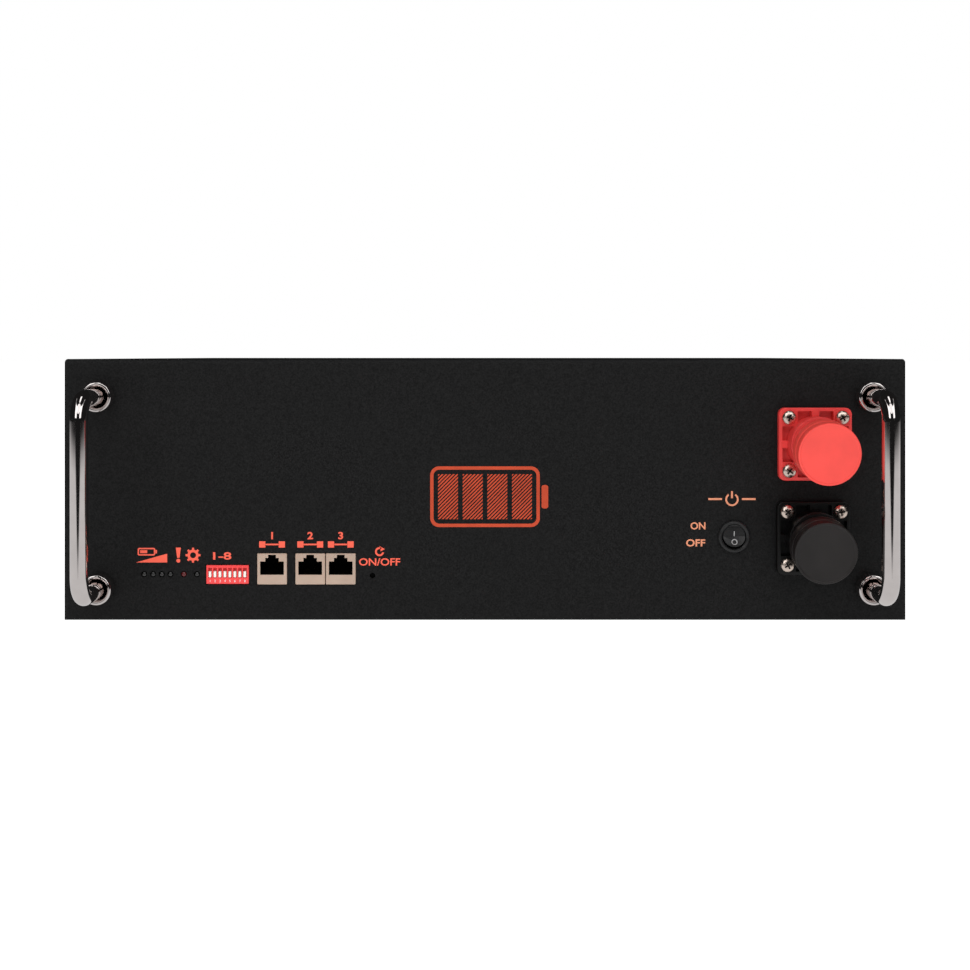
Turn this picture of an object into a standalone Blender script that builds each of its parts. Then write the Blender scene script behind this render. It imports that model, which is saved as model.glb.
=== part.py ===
"""Rack battery, three height units tall, in a folded sheet-steel case.

Metres, +Z up.  The origin is the centre of the case's footprint on its bottom
face.  The front panel faces -Y, and +X is to the right of a person facing it.
"""
import math

import bmesh
import bpy
from mathutils import Matrix

MM = 0.001

# Case
WIDTH = 430 * MM
HEIGHT = 133.35 * MM
DEPTH = 410 * MM
SHEET = 1.5 * MM
PANEL_SHEET = 2.0 * MM
PANEL_RETURN = 12 * MM
BEND = 2.2 * MM
EDGE = 0.6 * MM
GAP = 0.3 * MM
HALF_WIDTH = WIDTH / 2
FRONT = -DEPTH / 2
REAR = DEPTH / 2
TRAY_FRONT = FRONT + PANEL_RETURN + GAP
COVER_BOTTOM = HEIGHT - SHEET
TRAY_TOP = COVER_BOTTOM - GAP

# Countersunk case screws, in the sides
CASE_SCREW_HEAD = 3.0 * MM
CASE_SCREW_SHANK = 1.5 * MM
CASE_SCREW_CONE = 1.5 * MM
CASE_SCREW_LENGTH = 6 * MM
COVER_SCREW_Y = (-150 * MM, 150 * MM)
COVER_SCREW_Z = 124 * MM
PANEL_SCREW_Y = FRONT + 7 * MM
PANEL_SCREW_Z = 65 * MM

# Handles
HANDLE_X = 196.3 * MM
HANDLE_Z = (16.7 * MM, 114.1 * MM)
HANDLE_REACH = 42 * MM
HANDLE_ROD = 4.35 * MM
HANDLE_BEND = 11 * MM
HANDLE_SCREW_SHANK = 1.9 * MM
COLLAR_RADIUS = 7.6 * MM
COLLAR_HEIGHT = 10.5 * MM

# Power sockets and their dust caps
SOCKET_PLACE = {"positive": (167.8 * MM, 90.1 * MM), "negative": (166.9 * MM, 42.3 * MM)}
CAP_REACH = {"positive": 38 * MM, "negative": 34 * MM}
FLANGE = 37 * MM
FLANGE_THICKNESS = 5 * MM
SOCKET_SCREW_OFFSET = 13.5 * MM
BARREL_RADIUS = 14.2 * MM
BARREL_END = 16.5 * MM
TIP_RADIUS = 10.4 * MM
TIP_END = 30 * MM
SOCKET_BORE = 8.4 * MM
SOCKET_REAR_RADIUS = 12.4 * MM
SOCKET_REAR = 12 * MM
PIN_RADIUS = 3.5 * MM
CAP_RADIUS = 15.45 * MM
CAP_INNER = 14.5 * MM
CAP_LENGTH = 15 * MM
CAP_TOP = 2 * MM
CAP_DROP = {"positive": 2.4 * MM, "negative": 3.1 * MM}
CAP_TILT = {"positive": math.radians(6), "negative": math.radians(8)}

# Round rocker switch
SWITCH_X = 127.2 * MM
SWITCH_Z = 42.6 * MM
SWITCH_BEZEL = 8.2 * MM
SWITCH_OPENING = 6.15 * MM
SWITCH_BODY = 7.3 * MM
ROCKER_RADIUS = 5.6 * MM
ROCKER_TILT = math.radians(10)
ROCKER_PIVOT = 1.2 * MM

# Row of small parts along the bottom left
LED_X = [x * MM for x in (-174.2, -169.6, -165.2, -160.8, -153.9, -147.2)]
LED_NAMES = ("charge_led_1", "charge_led_2", "charge_led_3", "charge_led_4", "alarm_led", "run_led")
LED_Z = 23.4 * MM
LED_HOLE = 1.6 * MM
ADDRESS_X = -131.6 * MM
ADDRESS_Z = 23.2 * MM
ADDRESS_SIZE = (21.8 * MM, 9.7 * MM)
ADDRESS_PITCH = 2.54 * MM
LEVER = (1.3 * MM, 3.0 * MM)
LEVER_TRAVEL = 1.5 * MM
LEVER_STOP = 1.6 * MM
PORT_X = [x * MM for x in (-108.8, -89.3, -73.7)]
PORT_Z = 26.1 * MM
PORT_SIZE = (15.2 * MM, 15.9 * MM)
PORT_DEPTH = 13 * MM
PORT_STEPS = ((12.1 * MM, 6.8 * MM), (6.9 * MM, 8.6 * MM), (4.0 * MM, 10.2 * MM))
RESET_X = -57.5 * MM
RESET_Z = 22.7 * MM
RESET_HOLE = 1.4 * MM

# Inside
CELL = (40 * MM, 148 * MM, 102 * MM)
CELLS_IN_ROW = 8
CELL_FLOOR = SHEET + GAP
ROW_Y = {"front": -23 * MM, "rear": 126 * MM}
CABLE_RADIUS = 4.5 * MM


# ---------------------------------------------------------------- tools

def clear_scene():
    for old in list(bpy.data.objects):
        bpy.data.objects.remove(old, do_unlink=True)


def collection(name):
    new = bpy.data.collections.new(name)
    bpy.context.scene.collection.children.link(new)
    return new


def material(name, colour, roughness, metallic=0.0):
    new = bpy.data.materials.new(name)
    new.use_nodes = True
    shader = new.node_tree.nodes["Principled BSDF"]
    shader.inputs["Base Color"].default_value = (*colour, 1)
    shader.inputs["Roughness"].default_value = roughness
    shader.inputs["Metallic"].default_value = metallic
    return new


def mesh_object(name, mesh, finish=None):
    new = bpy.data.objects.new(name, mesh)
    PARTS.objects.link(new)
    if finish:
        mesh.materials.clear()
        mesh.materials.append(finish)
    return new


def bake(target):
    """Replace an object's mesh by its evaluated mesh and drop its modifiers."""
    bpy.context.view_layer.update()
    graph = bpy.context.evaluated_depsgraph_get()
    mesh = bpy.data.meshes.new_from_object(target.evaluated_get(graph))
    target.modifiers.clear()
    target.data = mesh
    return target


def tidy_mesh(mesh):
    shape = bmesh.new()
    shape.from_mesh(mesh)
    bmesh.ops.remove_doubles(shape, verts=shape.verts, dist=0.00001)
    bmesh.ops.recalc_face_normals(shape, faces=shape.faces)
    shape.to_mesh(mesh)
    shape.free()


def smooth(target, angle=35):
    target.data.shade_smooth()
    target.data.set_sharp_from_angle(angle=math.radians(angle))
    return target


def block(name, low, high, finish=None, bevel=0, segments=2):
    """A box between two corners, with its edges rounded by a bevel."""
    shape = bmesh.new()
    bmesh.ops.create_cube(shape, size=1)
    size = [b - a for a, b in zip(low, high)]
    centre = [(a + b) / 2 for a, b in zip(low, high)]
    place = Matrix.Translation(centre) @ Matrix.Diagonal((*size, 1))
    bmesh.ops.transform(shape, matrix=place, verts=shape.verts)
    mesh = bpy.data.meshes.new(name)
    shape.to_mesh(mesh)
    shape.free()
    new = mesh_object(name, mesh, finish)
    if bevel:
        edge = new.modifiers.new("edges", "BEVEL")
        edge.width = bevel
        edge.segments = segments
        bake(new)
    return new


def rod(name, radius, start, end, x, z, finish=None, sides=24, tip_radius=None):
    """A cylinder or cone along Y, from y=start to y=end."""
    shape = bmesh.new()
    far = radius if tip_radius is None else tip_radius
    length = end - start
    bmesh.ops.create_cone(shape, cap_ends=True, segments=sides, radius1=radius, radius2=far, depth=length)
    turn = Matrix.Rotation(math.radians(-90), 4, "X")
    place = Matrix.Translation((x, (start + end) / 2, z))
    bmesh.ops.transform(shape, matrix=place @ turn, verts=shape.verts)
    mesh = bpy.data.meshes.new(name)
    shape.to_mesh(mesh)
    shape.free()
    tidy_mesh(mesh)
    return mesh_object(name, mesh, finish)


def turned(name, profile, x, z, finish, steps=32, y=None):
    """A turned shape on an axis along -Y; the profile is (radius, distance out from y)."""
    mesh = bpy.data.meshes.new(name)
    points = [(radius, 0, reach) for radius, reach in profile]
    closed = profile[0][0] > 0
    edges = [(i, i + 1) for i in range(len(points) - 1)]
    if closed:
        edges.append((len(points) - 1, 0))
    mesh.from_pydata(points, edges, [])
    new = mesh_object(name, mesh, finish)
    screw = new.modifiers.new("turn", "SCREW")
    screw.steps = screw.render_steps = steps
    screw.use_merge_vertices = True
    screw.merge_threshold = 0.00001
    bake(new)
    place = Matrix.Translation((x, FRONT if y is None else y, z))
    new.data.transform(place @ Matrix.Rotation(math.radians(90), 4, "X"))
    tidy_mesh(new.data)
    return smooth(new)


def joined(name, pieces):
    """Several closed shapes in one mesh, used as one cutter."""
    shape = bmesh.new()
    for piece in pieces:
        shape.from_mesh(piece.data)
        bpy.data.objects.remove(piece)
    mesh = bpy.data.meshes.new(name)
    shape.to_mesh(mesh)
    shape.free()
    return mesh_object(name, mesh)


def combine(target, others, operation):
    """Add shapes to a body or cut them from it, and remove them."""
    tool = joined("tool", others)
    change = target.modifiers.new("change", "BOOLEAN")
    change.operation = operation
    change.object = tool
    bake(target)
    bpy.data.objects.remove(tool)
    tidy_mesh(target.data)
    return target


def cut(target, *others):
    return combine(target, others, "DIFFERENCE")


def add(target, *others):
    for other in others:
        combine(target, [other], "UNION")
    return target


def tube(name, points, radius, finish, resolution=3):
    """A round wire along points, as a closed mesh."""
    curve = bpy.data.curves.new(name, "CURVE")
    curve.dimensions = "3D"
    curve.bevel_depth = radius
    curve.bevel_resolution = resolution
    curve.use_fill_caps = True
    line = curve.splines.new("POLY")
    line.points.add(len(points) - 1)
    for point, place in zip(line.points, points):
        point.co = (*place, 1)
    guide = bpy.data.objects.new(name + "_path", curve)
    PARTS.objects.link(guide)
    bpy.context.view_layer.update()
    graph = bpy.context.evaluated_depsgraph_get()
    mesh = bpy.data.meshes.new_from_object(guide.evaluated_get(graph))
    bpy.data.objects.remove(guide)
    tidy_mesh(mesh)
    return smooth(mesh_object(name, mesh, finish))


def arc(centre, radius, start, end, steps, x):
    """Points of an arc in the plane at x, angles in degrees from +Y towards +Z."""
    turns = [math.radians(start + (end - start) * i / steps) for i in range(steps + 1)]
    return [(x, centre[0] + radius * math.cos(t), centre[1] + radius * math.sin(t)) for t in turns]


# ---------------------------------------------------------------- case

def side_screw_tool(side, y, z, clearance):
    """A countersunk screw's shape, flush with the case's side; clearance makes it a hole."""
    face = side * (HALF_WIDTH - (0 if clearance else 0.1 * MM))
    head = CASE_SCREW_HEAD + clearance
    shank = CASE_SCREW_SHANK + clearance
    over = 1 * MM if clearance else 0
    length = CASE_SCREW_LENGTH + clearance
    profile = [(0, over), (head, over), (head, 0)]
    profile += [(shank, -CASE_SCREW_CONE), (shank, -length), (0, -length)]
    if not clearance:
        profile = profile[1:]
        profile[0] = (0, 0)
    new = turned("side_screw", profile, 0, 0, None, 16, 0)
    turn = Matrix.Rotation(side * math.radians(90), 4, "Z")
    new.data.transform(Matrix.Translation((face, y, z)) @ turn)
    return new


def side_positions():
    """Every side screw as (name, side, y, z)."""
    places = []
    for word, side in (("left", -1), ("right", 1)):
        for end, y in zip(("front", "rear"), COVER_SCREW_Y):
            places.append((f"cover_screw_{word}_{end}", side, y, COVER_SCREW_Z))
        places.append((f"panel_screw_{word}", side, PANEL_SCREW_Y, PANEL_SCREW_Z))
    return places


def side_holes(kind):
    wanted = [place for place in side_positions() if place[0].startswith(kind)]
    return [side_screw_tool(side, y, z, GAP) for name, side, y, z in wanted]


def make_tray():
    """Bottom and both sides folded from one sheet, with a rear plate and two front brackets."""
    left, right = -HALF_WIDTH, HALF_WIDTH
    outline = [(left, TRAY_TOP), (left, 0), (right, 0), (right, TRAY_TOP)]
    shape = bmesh.new()
    rows = [[shape.verts.new((x, y, z)) for x, z in outline] for y in (TRAY_FRONT, REAR)]
    for i in range(3):
        shape.faces.new((rows[0][i], rows[0][i + 1], rows[1][i + 1], rows[1][i]))
    mesh = bpy.data.meshes.new("chassis_tray")
    shape.to_mesh(mesh)
    shape.free()
    tray = mesh_object("chassis_tray", mesh, CASE_PAINT)
    fold = tray.modifiers.new("fold", "BEVEL")
    fold.width = BEND
    fold.segments = 3
    wall = tray.modifiers.new("wall", "SOLIDIFY")
    wall.thickness = SHEET
    wall.offset = 1
    wall.use_even_offset = True
    bake(tray)
    tidy_mesh(tray.data)
    rear_half = HALF_WIDTH - SHEET / 2
    rear_low = (-rear_half, REAR - 2 * MM, SHEET / 2)
    rear_high = (rear_half, REAR - 0.5 * MM, TRAY_TOP - GAP)
    add(tray, block("rear_plate", rear_low, rear_high))
    for side in (-1, 1):
        inner = HALF_WIDTH - PANEL_SHEET - GAP
        spans = sorted((side * (inner - 3 * MM), side * inner))
        pads = sorted((side * (inner - 3 * MM), side * (HALF_WIDTH - 0.8 * MM)))
        start = FRONT + PANEL_SHEET + GAP
        tongue = block("tongue", (spans[0], start, 50 * MM), (spans[1], -178 * MM, 80 * MM))
        pad = block("pad", (pads[0], TRAY_FRONT + 2 * MM, 51 * MM), (pads[1], -180 * MM, 79 * MM))
        add(tray, tongue, pad)
    cut(tray, *side_holes("cover"), *side_holes("panel"))
    return tray


def make_cover():
    """Flat lid with a skirt inside each wall of the tray."""
    low = (-HALF_WIDTH, TRAY_FRONT, COVER_BOTTOM)
    cover = block("top_cover", low, (HALF_WIDTH, REAR, HEIGHT), CASE_PAINT, 0.7 * MM)
    outer = HALF_WIDTH - SHEET - GAP
    for side in (-1, 1):
        spans = sorted((side * (outer - SHEET), side * outer))
        inside = COVER_BOTTOM + SHEET / 2
        skirt = block("skirt", (spans[0], -174 * MM, 117 * MM), (spans[1], 200 * MM, inside))
        add(cover, skirt)
    return cut(cover, *side_holes("cover"))


def make_side_screws():
    for name, side, y, z in side_positions():
        screw = side_screw_tool(side, y, z, 0)
        screw.name = name
        screw.data.materials.clear()
        screw.data.materials.append(BLACK_STEEL)


# ---------------------------------------------------------------- front panel

def panel_holes():
    """Every cut-out through the front sheet, each with a gap round its part."""
    back = FRONT + 3 * MM
    ahead = FRONT - 1 * MM
    tools = []
    for side in (-1, 1):
        for z in HANDLE_Z:
            tools.append(rod("hole", HANDLE_SCREW_SHANK + GAP, ahead, back, side * HANDLE_X, z, sides=16))
    for x, z in SOCKET_PLACE.values():
        tools.append(rod("hole", SOCKET_REAR_RADIUS + GAP, ahead, back, x, z, sides=36))
        for dx, dz in socket_screw_offsets():
            tools.append(rod("hole", 1.8 * MM, ahead, back, x + dx, z + dz, sides=12))
    tools.append(rod("hole", SWITCH_BODY + GAP, ahead, back, SWITCH_X, SWITCH_Z, sides=28))
    for x in LED_X:
        tools.append(rod("hole", LED_HOLE, ahead, back, x, LED_Z, sides=14))
    tools.append(rod("hole", RESET_HOLE, ahead, back, RESET_X, RESET_Z, sides=14))
    windows = [(ADDRESS_X, ADDRESS_X, ADDRESS_Z, ADDRESS_SIZE)]
    windows.append((PORT_X[0], PORT_X[0], PORT_Z, PORT_SIZE))
    windows.append((PORT_X[1], PORT_X[2], PORT_Z, PORT_SIZE))
    for first, last, z, (width, height) in windows:
        low = (first - width / 2 - GAP, ahead, z - height / 2 - GAP)
        high = (last + width / 2 + GAP, back, z + height / 2 + GAP)
        tools.append(block("window", low, high))
    return tools


def fold_edges(panel):
    """A soft bend along the front's top edge and tight ones along its other three."""
    shape = bmesh.new()
    shape.from_mesh(panel.data)
    front = [edge for edge in shape.edges if max(vert.co.y for vert in edge.verts) < FRONT + EDGE]
    top = [edge for edge in front if min(vert.co.z for vert in edge.verts) > HEIGHT - EDGE]
    others = [edge for edge in front if edge not in top]
    bmesh.ops.bevel(shape, geom=others, offset=EDGE, segments=2, profile=0.5, affect="EDGES")
    front = [edge for edge in shape.edges if max(vert.co.y for vert in edge.verts) < FRONT + EDGE]
    top = [edge for edge in front if min(vert.co.z for vert in edge.verts) > HEIGHT - EDGE / 10]
    bmesh.ops.bevel(shape, geom=top, offset=BEND, segments=4, profile=0.5, affect="EDGES")
    shape.to_mesh(panel.data)
    shape.free()


def make_panel():
    """Front sheet with its four edges folded back into a shallow pan."""
    spare = 20 * MM
    back = FRONT + PANEL_RETURN
    panel = block("front_panel", (-HALF_WIDTH, FRONT, 0), (HALF_WIDTH, back + spare, HEIGHT), CASE_PAINT)
    fold_edges(panel)
    behind = block("behind", (-WIDTH, back, -HEIGHT), (WIDTH, back + 2 * spare, 2 * HEIGHT))
    cut(panel, behind)
    inner = HALF_WIDTH - PANEL_SHEET
    cavity = block(
        "cavity", (-inner, FRONT + PANEL_SHEET, PANEL_SHEET), (inner, back + spare, HEIGHT - PANEL_SHEET))
    cut(panel, cavity)
    cut(panel, *panel_holes())
    cut(panel, *side_holes("panel"))
    return panel


# ---------------------------------------------------------------- handles

def make_handle(word, side):
    """A bent rod with a tapped hole in each leg, two collars and two screws from inside."""
    x = side * HANDLE_X
    low, high = HANDLE_Z
    start = FRONT - GAP
    bar = FRONT - HANDLE_REACH
    inner = bar + HANDLE_BEND
    points = [(x, start, high)]
    points += arc((inner, high - HANDLE_BEND), HANDLE_BEND, 90, 180, 7, x)
    points += arc((inner, low + HANDLE_BEND), HANDLE_BEND, 180, 270, 7, x)
    points += [(x, start, low)]
    handle = tube(f"handle_{word}", points, HANDLE_ROD, CHROME, 2)
    bore = HANDLE_SCREW_SHANK + GAP
    for z in HANDLE_Z:
        cut(handle, rod("bore", bore, start - 12 * MM, start + 1 * MM, x, z, sides=12))
    smooth(handle)
    for place, z in zip(("bottom", "top"), HANDLE_Z):
        make_collar(f"handle_collar_{word}_{place}", x, z)
        make_handle_screw(f"handle_screw_{word}_{place}", x, z)


def make_collar(name, x, z):
    bore = HANDLE_ROD + GAP
    edge = 1.6 * MM
    profile = [(bore, GAP), (COLLAR_RADIUS, GAP), (COLLAR_RADIUS, COLLAR_HEIGHT - edge)]
    profile += [(COLLAR_RADIUS - 0.4 * edge, COLLAR_HEIGHT - 0.3 * edge)]
    profile += [(COLLAR_RADIUS - edge, COLLAR_HEIGHT)]
    profile += [(bore + 0.8 * MM, COLLAR_HEIGHT - edge), (bore, COLLAR_HEIGHT - 2 * edge)]
    return turned(name, profile, x, z, CHROME, 24)


def make_handle_screw(name, x, z):
    """Pan-head screw seated behind the front sheet."""
    seat = -PANEL_SHEET - GAP
    head = 3.6 * MM
    tall = 2.4 * MM
    shank = HANDLE_SCREW_SHANK
    profile = [(0, 11 * MM), (shank, 11 * MM), (shank, seat), (head, seat), (head, seat - tall / 2)]
    profile += [(head * 0.7, seat - tall), (0, seat - tall)]
    return turned(name, profile, x, z, STEEL, 14)


# ---------------------------------------------------------------- power sockets

def socket_screw_offsets():
    reach = SOCKET_SCREW_OFFSET
    return [(dx, dz) for dz in (-reach, reach) for dx in (-reach, reach)]


def make_socket(word, finish):
    """Square flange with pockets between its screws, and a stepped round barrel."""
    x, z = SOCKET_PLACE[word]
    half = FLANGE / 2
    top = FRONT - FLANGE_THICKNESS - GAP
    profile = [(PIN_RADIUS + GAP, -SOCKET_REAR), (SOCKET_REAR_RADIUS, -SOCKET_REAR)]
    profile += [(SOCKET_REAR_RADIUS, 2 * MM), (BARREL_RADIUS, 2 * MM)]
    profile += [(BARREL_RADIUS, BARREL_END), (TIP_RADIUS, BARREL_END)]
    profile += [(TIP_RADIUS, TIP_END - 1 * MM), (TIP_RADIUS - 0.8 * MM, TIP_END), (SOCKET_BORE, TIP_END)]
    profile += [(SOCKET_BORE, 0), (PIN_RADIUS + GAP, 0)]
    flange = block("flange", (x - half, top, z - half), (x + half, FRONT - GAP, z + half))
    round_corners(flange, 3.3 * MM)
    cut(flange, rod("bore", TIP_RADIUS, FRONT - 20 * MM, FRONT + 20 * MM, x, z, sides=36))
    cut(flange, *[pocket(x, z, quarter, step) for quarter in range(4) for step in (-1, 1)])
    holes = [(x + dx, z + dz) for dx, dz in socket_screw_offsets()]
    for hole in holes:
        cut(flange, rod("hole", 1.8 * MM, FRONT - 20 * MM, FRONT + 5 * MM, *hole, sides=12))
    barrel = turned("barrel", profile, x, z, finish, 36)
    add(barrel, flange)
    barrel.name = f"socket_{word}"
    smooth(barrel)
    make_pin(word, x, z)
    make_cap(word, x, z, finish)
    for i, hole in enumerate(holes, 1):
        make_socket_screw(f"socket_screw_{word}_{i}", *hole)


def round_corners(plate, radius):
    """Round the four corner edges that run along Y."""
    shape = bmesh.new()
    shape.from_mesh(plate.data)
    corners = [e for e in shape.edges if abs(e.verts[0].co.y - e.verts[1].co.y) > 1 * MM]
    bmesh.ops.bevel(shape, geom=corners, offset=radius, segments=5, profile=0.5, affect="EDGES")
    shape.to_mesh(plate.data)
    shape.free()


def pocket(x, z, quarter, step):
    """One recess between a flange's rim and its barrel, beside the middle rib and clear of the screw."""
    rib = 1.9 * MM
    length = 7.2 * MM
    near = TIP_RADIUS + 0.6 * MM
    far = FLANGE / 2 - 1.7 * MM
    spans = sorted((step * rib, step * (rib + length)))
    new = block("pocket", (spans[0], -8 * MM, near), (spans[1], -1.6 * MM, far))
    turn = Matrix.Rotation(math.radians(90 * quarter), 4, "Y")
    new.data.transform(Matrix.Translation((x, FRONT, z)) @ turn)
    return new


def make_pin(word, x, z):
    """Contact pin with a stud at its rear."""
    stud = 2.9 * MM
    profile = [(0, 24 * MM), (PIN_RADIUS - 1 * MM, 24 * MM), (PIN_RADIUS, 22.5 * MM)]
    profile += [(PIN_RADIUS, -15 * MM), (stud, -15 * MM), (stud, -22 * MM), (0, -22 * MM)]
    turned(f"contact_pin_{word}", profile, x, z, BRASS, 16)


def make_cap(word, x, z, finish):
    """Loose cup over the socket's tip, hanging a little with its front tilted down."""
    edge = 0.7 * MM
    half = CAP_LENGTH / 2
    profile = [(0, half), (CAP_RADIUS - edge, half), (CAP_RADIUS, half - edge), (CAP_RADIUS, -half)]
    profile += [(CAP_INNER, -half), (CAP_INNER, half - CAP_TOP), (0, half - CAP_TOP)]
    middle = CAP_REACH[word] - half
    cap = turned(f"dust_cap_{word}", profile, 0, 0, finish, 40, 0)
    place = Matrix.Translation((x, FRONT - middle, z - CAP_DROP[word]))
    cap.data.transform(place @ Matrix.Rotation(CAP_TILT[word], 4, "X"))
    return cap


def make_socket_screw(name, x, z):
    seat = FLANGE_THICKNESS + 2 * GAP
    head = 3.6 * MM
    shank = 1.5 * MM
    profile = [(0, seat + 2.3 * MM), (head * 0.55, seat + 2.1 * MM), (head * 0.88, seat + 1.5 * MM)]
    profile += [(head, seat + 0.6 * MM), (head, seat), (shank, seat), (shank, -6 * MM), (0, -6 * MM)]
    return turned(name, profile, x, z, STEEL, 14)


# ---------------------------------------------------------------- switch

def make_switch():
    """Round housing with a bezel, and a rocker with a hollowed face on a level pivot."""
    body = SWITCH_BODY
    lip = GAP
    profile = [(SWITCH_OPENING, -12 * MM), (body, -12 * MM), (body, lip), (SWITCH_BEZEL, lip)]
    profile += [(SWITCH_BEZEL, 1.0 * MM), (SWITCH_BEZEL - 0.8 * MM, 1.8 * MM)]
    profile += [(SWITCH_OPENING + 0.3 * MM, 1.8 * MM), (SWITCH_OPENING, 1.4 * MM)]
    turned("switch_housing", profile, SWITCH_X, SWITCH_Z, BLACK_PLASTIC, 36)
    rocker_profile = [(0, 4 * MM), (ROCKER_RADIUS, 4 * MM), (ROCKER_RADIUS, 1.4 * MM)]
    rocker_profile += [(4.2 * MM, -6 * MM), (0, -6 * MM)]
    rocker = turned("switch_rocker", rocker_profile, 0, 0, BLACK_PLASTIC, 32, 0)
    faces = []
    for side in (-1, 1):
        spans = sorted((side * -4 * MM, side * 12 * MM))
        face = block("face", (-9 * MM, -14 * MM, spans[0]), (9 * MM, -2.0 * MM, spans[1]))
        face.data.transform(Matrix.Rotation(side * ROCKER_TILT, 4, "X"))
        faces.append(face)
    keep = faces[0]
    meet = keep.modifiers.new("meet", "BOOLEAN")
    meet.operation = "INTERSECT"
    meet.object = faces[1]
    bake(keep)
    bpy.data.objects.remove(faces[1])
    cut(rocker, keep)
    place = Matrix.Translation((SWITCH_X, FRONT + ROCKER_PIVOT, SWITCH_Z))
    rocker.data.transform(place @ Matrix.Rotation(-ROCKER_TILT, 4, "X"))
    smooth(rocker)


# ---------------------------------------------------------------- small parts

def make_leds():
    for name, x in zip(LED_NAMES, LED_X):
        lens = LED_HOLE - GAP
        profile = [(0, 0.5 * MM), (lens * 0.6, 0.3 * MM), (lens, -0.5 * MM), (lens, -2.6 * MM)]
        profile += [(lens + 0.5 * MM, -2.6 * MM), (lens + 0.5 * MM, -7 * MM), (0, -7 * MM)]
        turned(name, profile, x, LED_Z, LENS, 14)


def make_address_switch():
    """Eight small levers in one housing, all at their lower stops."""
    half_x, half_z = ADDRESS_SIZE[0] / 2, ADDRESS_SIZE[1] / 2
    low = (ADDRESS_X - half_x, FRONT + 0.1 * MM, ADDRESS_Z - half_z)
    high = (ADDRESS_X + half_x, FRONT + 9 * MM, ADDRESS_Z + half_z)
    housing = block("address_switch_housing", low, high, RED_PLASTIC)
    width, height = LEVER
    slot_height = height + LEVER_TRAVEL + 2 * GAP
    bottom = ADDRESS_Z - LEVER_STOP
    top = bottom + slot_height
    slots = []
    for i in range(8):
        x = ADDRESS_X + (i - 3.5) * ADDRESS_PITCH
        reach = width / 2 + GAP
        slots.append(block("slot", (x - reach, FRONT - 1 * MM, bottom), (x + reach, FRONT + 2 * MM, top)))
        foot = bottom + GAP
        lever_low = (x - width / 2, FRONT - 0.5 * MM, foot)
        lever_high = (x + width / 2, FRONT + 2 * MM - GAP, foot + height)
        block(f"address_lever_{i + 1}", lever_low, lever_high, WHITE_PLASTIC, 0.15 * MM, 1)
    cut(housing, *slots)


def make_ports():
    """Data sockets with a stepped opening, wide below and with a latch notch above."""
    for i, x in enumerate(PORT_X, 1):
        half_x, half_z = PORT_SIZE[0] / 2, PORT_SIZE[1] / 2
        low = (x - half_x, FRONT - 0.4 * MM, PORT_Z - half_z)
        high = (x + half_x, FRONT + PORT_DEPTH, PORT_Z + half_z)
        port = block(f"data_port_{i}", low, high, CREAM_PLASTIC)
        floor = PORT_Z - half_z + 5 * MM
        for width, tall in PORT_STEPS:
            start = (x - width / 2, FRONT - 2 * MM, floor)
            cut(port, block("hole", start, (x + width / 2, FRONT + 11 * MM, floor + tall)))


def make_reset():
    profile = [(0, -0.9 * MM), (RESET_HOLE - GAP, -0.9 * MM), (RESET_HOLE - GAP, -4 * MM)]
    profile += [(2.2 * MM, -4 * MM), (2.2 * MM, -6 * MM), (0, -6 * MM)]
    turned("reset_button", profile, RESET_X, RESET_Z, BLACK_PLASTIC, 14)


# ---------------------------------------------------------------- inside

def make_cells():
    """Two rows of prismatic cells, each row a taped stack with its terminals on top."""
    half = CELL[0] * CELLS_IN_ROW / 2
    top = CELL_FLOOR + CELL[2]
    pad = 9 * MM
    for word, y in ROW_Y.items():
        low = (-half, y - CELL[1] / 2, CELL_FLOOR)
        row = block(f"cell_row_{word}", low, (half, y + CELL[1] / 2, top), CELL_WRAP, 1 * MM, 1)
        studs = []
        for i in range(CELLS_IN_ROW):
            x = -half + (i + 0.5) * CELL[0]
            for place in (y - 50 * MM, y + 50 * MM):
                corner = (x + pad, place + pad, top + 3 * MM)
                studs.append(block("stud", (x - pad, place - pad, top - 1 * MM), corner))
        combine(row, studs, "UNION")


def make_hold_down():
    """Bar over the joint between the rows, with a leg down each end of the stack."""
    half = CELL[0] * CELLS_IN_ROW / 2 + GAP
    top = CELL_FLOOR + CELL[2] + GAP
    middle = (ROW_Y["front"] + ROW_Y["rear"]) / 2
    low, high = middle - 12 * MM, middle + 12 * MM
    bar = block("cell_hold_down", (-half - 2 * MM, low, top), (half + 2 * MM, high, top + 2 * MM), STEEL)
    for side in (-1, 1):
        spans = sorted((side * half, side * (half + 2 * MM)))
        feet = sorted((side * half, side * (half + 16 * MM)))
        leg = block("leg", (spans[0], low, CELL_FLOOR), (spans[1], high, top + 1 * MM))
        foot = block("foot", (feet[0], low, CELL_FLOOR), (feet[1], high, CELL_FLOOR + 2 * MM))
        add(bar, leg, foot)


def make_board():
    low = (-185 * MM, FRONT + 22 * MM, 8 * MM)
    high = (120 * MM, FRONT + 23.6 * MM, 112 * MM)
    block("bms_board", low, high, BOARD)


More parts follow.
